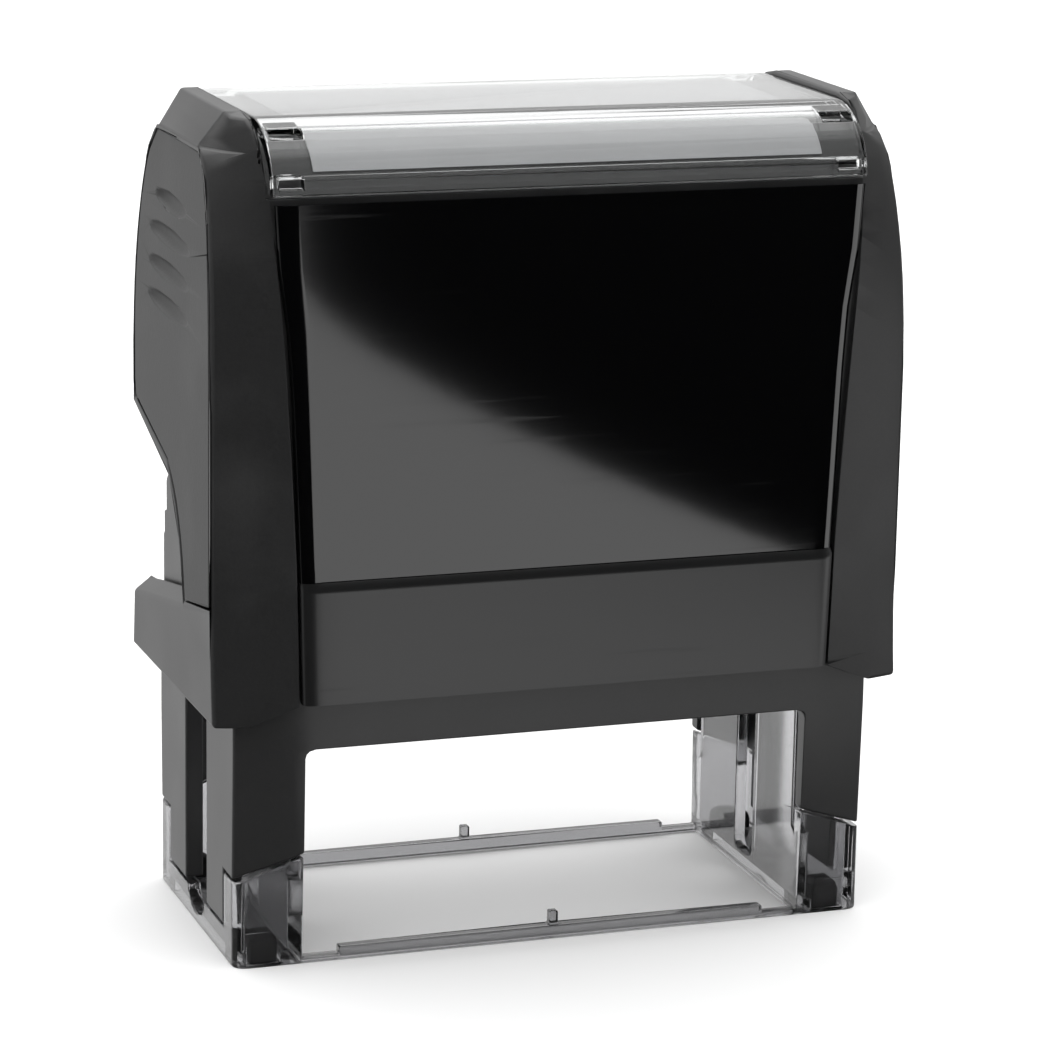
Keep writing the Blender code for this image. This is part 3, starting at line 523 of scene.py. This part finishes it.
def front_panel_shape(rim):
    """The front panel: a face that rolls over softly at its sides, with a raised band at its foot."""
    low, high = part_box("front_panel")
    half = panel_half_width("front_panel")
    bm = bmesh.new()
    bmesh.ops.create_grid(bm, x_segments=48, y_segments=60, size=1.0)
    depth = high.y - low.y
    lip = low.z + BAND_HEIGHT
    for vert in bm.verts:
        u, v = vert.co.x, (vert.co.y + 1) / 2
        # rows gather at the lip, columns at the sides
        if v < BAND_ROWS:
            z = low.z + (lip - low.z) * v / BAND_ROWS
        else:
            z = lip + (high.z - lip) * ((v - BAND_ROWS) / (1 - BAND_ROWS)) ** 1.6
        side = math.copysign(abs(math.sin(u * math.pi / 2)), u)
        x = side * half(z)
        if z < lip - 0.02 * MM:
            y = low.y + BAND_SETBACK
        else:
            y = low.y + FACE_SETBACK + FACE_LEAN * (z - lip) / (high.z - lip)
        edge = max(0.0, 1 - (half(z) - abs(x)) / rim)
        y += (depth - ROLL_CLEAR) * (1 - math.sqrt(max(0.0, 1 - edge**ROLL_POWER)))
        vert.co = (x, y, z)
    bmesh.ops.recalc_face_normals(bm, faces=bm.faces)
    if sum(f.normal.y for f in bm.faces) > 0:
        bmesh.ops.reverse_faces(bm, faces=bm.faces)
    rim_edges = [e for e in bm.edges if e.is_boundary]
    grown = bmesh.ops.extrude_edge_only(bm, edges=rim_edges)["geom"]
    for vert in {g for g in grown if isinstance(g, bmesh.types.BMVert)}:
        vert.co.y = high.y
    back = [e for e in bm.edges if e.is_boundary]
    bmesh.ops.contextual_create(bm, geom=back)
    bmesh.ops.recalc_face_normals(bm, faces=bm.faces)
    return bm


class STAMP_OT_panels(StampOperator):
    """Polished front and back panels"""

    bl_idname = "stamp.panels"
    bl_label = "Gloss panels"

    def execute(self, context):
        style = finishes()
        gloss = polished(
            "gloss black plastic", style.gloss_colour, 0.06, dust=0.02, wear=0.05, Specular_IOR_Level=1.0
        )
        satin = polished(
            "satin black plastic",
            style.band_colour,
            0.30,
            dust=0.02,
            wear=0.05,
            peel=0.004,
            Specular_IOR_Level=0.8,
        )
        front = front_panel_shape(style.panel_rim)
        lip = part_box("front_panel")[0].z + BAND_HEIGHT
        for face in front.faces:
            face.material_index = int(face.calc_center_median().z < lip)
        make_piece("front_panel_gloss", front, [gloss, satin], "bow", "front_panel", smooth=50)
        back = clean_copy("back_panel")
        make_piece("back_panel_gloss", back, gloss, "bow", "back_panel")
        return {"FINISHED"}


class STAMP_OT_cap(StampOperator):
    """Clear cap over the index card"""

    bl_idname = "stamp.cap"
    bl_label = "Clear cap"

    def execute(self, context):
        style = finishes()
        clear = polished(
            "clear plastic", style.clear_colour, 0.02, dust=0.0, wear=0.05, Transmission_Weight=1.0, IOR=1.49
        )
        card = moulded("index card", style.card_colour, 0.55, rub=0.08, grain=0.15 * MM, depth=0.004)
        bm = clean_copy("clear_cap")
        make_piece(
            "cap_shell", bm, clear, "clear_cap", "clear_cap", rounding=style.trim_edge
        )
        bm = clean_copy("index_card")
        make_piece("card_sheet", bm, card, "bow", "index_card")
        return {"FINISHED"}


class STAMP_OT_buttons(StampOperator):
    """Two lock buttons in the back panel"""

    bl_idname = "stamp.buttons"
    bl_label = "Lock buttons"

    def execute(self, context):
        plastic = moulded("button plastic", finishes().button_colour, 0.35, rub=0.05, depth=0.003)
        for side in ENDS:
            node = f"lock_button_{side}"
            bm = clean_copy(node)
            make_piece(f"button_{side}", bm, plastic, node, node, rounding=0.2 * MM)
        return {"FINISHED"}


class STAMP_OT_spring(StampOperator):
    """Compression spring between the deck and the crown"""

    bl_idname = "stamp.spring"
    bl_label = "Main spring"

    def execute(self, context):
        steel = moulded(
            "spring steel", (0.50, 0.49, 0.47), 0.30, rub=0.1, grain=0.12 * MM, depth=0.002, Metallic=1.0
        )
        bm = clean_copy("main_spring", weld=0.01 * MM)
        spring = make_piece("coil", bm, steel, "base", "main_spring", smooth=60)
        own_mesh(spring)
        return {"FINISHED"}


class STAMP_OT_cartridge(StampOperator):
    """Ink cartridge and its felt pad"""

    bl_idname = "stamp.cartridge"
    bl_label = "Ink cartridge"

    def execute(self, context):
        style = finishes()
        plastic = moulded("cartridge plastic", style.frame_colour, 0.38, rub=0.03, depth=0.003)
        felt = moulded(
            "ink felt", style.ink_colour, 0.62, rub=0.03, grain=0.35 * MM, depth=0.08, Sheen_Weight=0.3
        )
        bm = clean_copy("cartridge_tray")
        make_piece(
            "cartridge",
            bm,
            plastic,
            "ink_cartridge",
            "cartridge_tray",
            rounding=style.frame_edge,
        )
        bm = cushion("ink_pad", 0.35 * MM)
        pad = make_piece("felt_pad", bm, felt, "ink_cartridge", "ink_pad")
        return {"FINISHED"}


class STAMP_OT_die(StampOperator):
    """Die carrier, plate, foam and stamp rubber"""

    bl_idname = "stamp.die"
    bl_label = "Die"

    def execute(self, context):
        style = finishes()
        plastic = moulded("carrier plastic", style.frame_colour, 0.4, rub=0.03, depth=0.004)
        foam = moulded("die foam", (0.26, 0.26, 0.28), 0.85, rub=0.12, grain=0.3 * MM, depth=0.05)
        rubber = moulded("die rubber", style.die_colour, 0.6, rub=0.05, grain=0.2 * MM, depth=0.01)
        for node, name, material, slot in (
            ("die_carrier", "carrier", plastic, "black_plastic"),
            ("die_plate", "plate", plastic, "black_plastic"),
            ("rubber_die", "rubber", rubber, "die_rubber"),
        ):
            make_piece(name, clean_copy(node), material, "die", node, rounding=0.12 * MM)
        pad = make_piece("foam", cushion("die_foam", 0.18 * MM), foam, "die", "die_foam")
        return {"FINISHED"}


# ---------------------------------------------------------------- stage


DOME_STRENGTH = 1.55  # for matt surfaces
ROOM_STRENGTH = 0.05  # for glossy surfaces, between the soft boxes
# direction, where the light starts and is full as the cosine to that direction, strength
SOFT_BOXES = (
    ((0, 1, 0.12), 0.45, 0.92, 0.95),
    ((-1, 0.5, 0.1), 0.45, 0.95, 0.30),
    ((0, 0.3, 1), 0.62, 0.93, 2.4),
    ((1, 0.1, -0.1), 0.55, 0.95, 0.25),
)
# foot of the dark screen that the polished panel mirrors
SCREEN_LINE = (
    (0.094, -0.090),
    (0.092, -0.150),
    (0.090, -0.174),
    (0.0865, -0.205),
    (0.083, -0.245),
    (0.081, -0.290),
    (0.081, -0.345),
    (0.084, -0.390),
    (0.090, -0.430),
    (0.103, -0.480),
    (0.170, -0.620),
)
# foot of the small dark flag that the left cheek mirrors
FLAG_LINE = ((-0.060, -0.036), (-0.0225, -0.034))
SCREEN_HEIGHT = 0.25
FLAG_HEIGHT = 0.09
BOUNCE_STRENGTH = 1.2


def stage_plane(name, corners, colour):
    bm = bmesh.new()
    bm.faces.new([bm.verts.new(c) for c in corners])
    return stage_object(name, bm, colour)


def stage_object(name, bm, colour):
    mesh = bpy.data.meshes.new(name)
    bm.to_mesh(mesh)
    bm.free()
    material = bpy.data.materials.new(name)
    material.use_nodes = True
    shader = material.node_tree.nodes["Principled BSDF"]
    shader.inputs["Base Color"].default_value = (*colour, 1)
    shader.inputs["Roughness"].default_value = 0.9
    shader.inputs["Specular IOR Level"].default_value = 0.0
    mesh.materials.append(material)
    obj = bpy.data.objects.new(name, mesh)
    bpy.context.scene.collection.objects.link(obj)
    return obj


def screen_wall(name, line, height):
    """An upright dark screen that follows a line on the floor."""
    bm = bmesh.new()
    foot = [bm.verts.new((x, y, 0.0)) for x, y in line]
    edges = [bm.edges.new(pair) for pair in zip(foot, foot[1:])]
    grown = bmesh.ops.extrude_edge_only(bm, edges=edges)["geom"]
    top = [g for g in grown if isinstance(g, bmesh.types.BMVert)]
    bmesh.ops.translate(bm, vec=(0, 0, height), verts=top)
    return stage_object(name, bm, (0.0, 0.0, 0.0))


def studio_world():
    """White to the eye, an even dome to matt surfaces, and soft boxes in a dim room to glossy ones."""
    world = bpy.data.worlds.new("Studio")
    bpy.context.scene.world = world
    world.use_nodes = True
    nodes, links = world.node_tree.nodes, world.node_tree.links
    nodes.clear()
    out = nodes.new("ShaderNodeOutputWorld")
    look = nodes.new("ShaderNodeTexCoord")

    def lobe(direction, start, end, strength):
        dot = nodes.new("ShaderNodeVectorMath")
        dot.operation = "DOT_PRODUCT"
        dot.inputs[1].default_value = Vector(direction).normalized()
        links.new(look.outputs["Generated"], dot.inputs[0])
        ramp = nodes.new("ShaderNodeMapRange")
        ramp.interpolation_type = "SMOOTHSTEP"
        ramp.inputs["From Min"].default_value = start
        ramp.inputs["From Max"].default_value = end
        ramp.inputs["To Max"].default_value = strength
        links.new(dot.outputs["Value"], ramp.inputs["Value"])
        return ramp.outputs["Result"]

    def backdrop(strength):
        node = nodes.new("ShaderNodeBackground")
        if isinstance(strength, bpy.types.NodeSocket):
            links.new(strength, node.inputs["Strength"])
        else:
            node.inputs["Strength"].default_value = strength
        node.inputs["Color"].default_value = (1, 1, 1, 1)
        return node.outputs[0]

    def choose(flag, when_not, when):
        node = nodes.new("ShaderNodeMixShader")
        links.new(flag, node.inputs["Fac"])
        links.new(when_not, node.inputs[1])
        links.new(when, node.inputs[2])
        return node.outputs[0]

    boxes = ROOM_STRENGTH
    for direction, start, end, strength in SOFT_BOXES:
        boxes = add_math(nodes, links, "ADD", lobe(direction, start, end, strength), boxes)
    path = nodes.new("ShaderNodeLightPath")
    seen = choose(path.outputs["Is Diffuse Ray"], backdrop(boxes), backdrop(DOME_STRENGTH))
    seen = choose(path.outputs["Is Transmission Ray"], seen, backdrop(1.0))
    seen = choose(path.outputs["Is Camera Ray"], seen, backdrop(1.0))
    links.new(seen, out.inputs["Surface"])


class STAMP_OT_stage(StampOperator):
    """Pale floor, soft studio light and the camera"""

    bl_idname = "stamp.stage"
    bl_label = "Stage"

    def execute(self, context):
        view = context.scene.stamp_stage
        floor = stage_plane("Floor", [(-3, -3, 0), (3, -3, 0), (3, 3, 0), (-3, 3, 0)], (0.86, 0.86, 0.86))
        floor.visible_glossy = False
        glow = stage_plane(
            "Bounce card",
            [(-0.10, -0.06, 0.0), (0.6, -0.06, 0.0), (0.6, -0.9, 0.0), (-0.10, -0.9, 0.0)],
            (0.0, 0.0, 0.0),
        )
        shader = glow.data.materials[0].node_tree.nodes["Principled BSDF"]
        shader.inputs["Emission Color"].default_value = (1, 1, 1, 1)
        shader.inputs["Emission Strength"].default_value = BOUNCE_STRENGTH
        screen = screen_wall("Dark screen", SCREEN_LINE, SCREEN_HEIGHT)
        flag = screen_wall("Dark flag", FLAG_LINE, FLAG_HEIGHT)
        for card in (glow, screen, flag):
            card.visible_camera = False
            card.visible_diffuse = False
            card.visible_shadow = False
            card.visible_transmission = False
        studio_world()
        context.scene.view_settings.view_transform = "Standard"
        camera = bpy.data.cameras.new("Camera")
        camera.lens = view.lens
        camera.sensor_width = 36.0
        camera.clip_start = 0.01
        away = Vector(
            (
                -math.sin(view.azimuth) * math.cos(view.elevation),
                -math.cos(view.azimuth) * math.cos(view.elevation),
                math.sin(view.elevation),
            )
        )
        right = (-away).cross(Vector((0, 0, 1))).normalized()
        up = right.cross(-away)
        turned = right * math.cos(view.roll) + up * math.sin(view.roll)
        above = up * math.cos(view.roll) - right * math.sin(view.roll)
        obj = bpy.data.objects.new("Camera", camera)
        facing = Matrix((turned, above, away)).transposed().to_4x4()
        middle = Vector((view.target_side, 0, view.target_height))
        obj.matrix_world = Matrix.Translation(middle + away * view.distance) @ facing
        context.scene.collection.objects.link(obj)
        context.scene.camera = obj
        return {"FINISHED"}


STEPS = (
    STAMP_OT_frame,
    STAMP_OT_foot,
    STAMP_OT_bow,
    STAMP_OT_panels,
    STAMP_OT_cap,
    STAMP_OT_buttons,
    STAMP_OT_spring,
    STAMP_OT_cartridge,
    STAMP_OT_die,
    STAMP_OT_stage,
)


class STAMP_PT_steps(bpy.types.Panel):
    """Lists the building steps and their settings"""

    bl_idname = "STAMP_PT_steps"
    bl_label = "Self-inking stamp"
    bl_space_type = "VIEW_3D"
    bl_region_type = "UI"
    bl_category = "Stamp"

    def draw(self, context):
        layout = self.layout
        for step in STEPS:
            layout.operator(step.bl_idname)
        for settings in (context.scene.stamp_finishes, context.scene.stamp_stage):
            box = layout.box()
            for name in settings.bl_rna.properties.keys():
                if name not in {"rna_type", "name"}:
                    box.prop(settings, name)


CLASSES = (StampFinishes, StampStage) + STEPS + (STAMP_PT_steps,)


def register():
    for one in CLASSES:
        bpy.utils.register_class(one)
    bpy.types.Scene.stamp_finishes = bpy.props.PointerProperty(type=StampFinishes)
    bpy.types.Scene.stamp_stage = bpy.props.PointerProperty(type=StampStage)


def unregister():
    del bpy.types.Scene.stamp_stage
    del bpy.types.Scene.stamp_finishes
    for one in reversed(CLASSES):
        bpy.utils.unregister_class(one)


def main():
    register()
    for step in STEPS:
        group, name = step.bl_idname.split(".")
        getattr(getattr(bpy.ops, group), name)()


if __name__ == "__main__":
    main()
